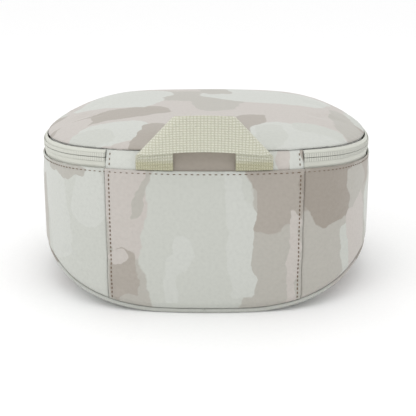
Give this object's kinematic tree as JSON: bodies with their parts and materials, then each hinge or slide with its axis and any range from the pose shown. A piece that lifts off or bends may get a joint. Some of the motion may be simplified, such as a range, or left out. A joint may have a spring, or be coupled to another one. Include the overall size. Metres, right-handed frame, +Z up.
{
  "type": "insulated cooler bag",
  "caption": "Oval insulated lunch cooler with padded walls, curved base, zipped domed lid hinged along its back and a folded webbing carry handle.",
  "frame": {"origin": "on the floor under the middle of the base", "axes": "+Z up, the hinge strip and the carry handle towards -Y, +X to the right when looking at the back"},
  "size_m": [0.25, 0.2476, 0.1424],
  "materials": {
    "printed_fabric": "matte printed plain-weave polyester",
    "foam": "white closed-cell foam",
    "liner": "smooth silver-grey wipe-clean liner",
    "zip_tape": "pale green woven zip tape",
    "zip_teeth": "pale nylon coil",
    "webbing": "pale yellow-green woven webbing",
    "binding": "pale grosgrain binding tape",
    "zip_metal": "painted zinc"
  },
  "bodies": {
    "bag_body": {"base_panel": "printed_fabric", "base_foam": "foam", "base_liner": "liner", "back_wall_panel": "printed_fabric", "side_wall_panel": "printed_fabric", "wall_foam": "foam", "wall_liner": "liner", "mouth_binding": "binding", "lower_zip_tape": "zip_tape", "lower_zip_teeth": "zip_teeth", "hinge_strip": "printed_fabric", "hinge_lining": "liner"},
    "lid": {"lid_panel": "printed_fabric", "lid_foam": "foam", "lid_liner": "liner", "lid_binding": "binding", "upper_zip_tape": "zip_tape", "upper_zip_teeth": "zip_teeth"},
    "handle": {"carry_handle": "webbing"},
    "left_slider": {"left_zip_slider": "zip_metal"},
    "right_slider": {"right_zip_slider": "zip_metal"},
    "left_pull": {"left_zip_pull": "zip_metal"},
    "right_pull": {"right_zip_pull": "zip_metal"}
  },
  "joints": [
    {"name": "lid_hinge", "type": "hinge", "parent": "bag_body", "child": "lid", "pos_m": [0, -0.1112, 0.1144], "axis": [1, 0, 0], "range_deg": [0, 90]},
    {"name": "handle_swing", "type": "hinge", "parent": "bag_body", "child": "handle", "pos_m": [0, -0.1166, 0.1031], "axis": [1, 0, 0], "range_deg": [0, 150]},
    {"name": "left_slider_travel", "type": "hinge", "parent": "bag_body", "child": "left_slider", "pos_m": [0, -0.2145, 0.1092], "axis": [0, 0, 1], "range_deg": [0, 7.5]},
    {"name": "right_slider_travel", "type": "hinge", "parent": "bag_body", "child": "right_slider", "pos_m": [0, -0.2145, 0.1092], "axis": [0, 0, -1], "range_deg": [0, 7.5]},
    {"name": "left_pull_flip", "type": "hinge", "parent": "left_slider", "child": "left_pull", "pos_m": [-0.00522, 0.11651, 0.1092], "axis": [0, 0, -1], "range_deg": [0, 110]},
    {"name": "right_pull_flip", "type": "hinge", "parent": "right_slider", "child": "right_pull", "pos_m": [0.00522, 0.11651, 0.1092], "axis": [0, 0, 1], "range_deg": [0, 110]}
  ]
}
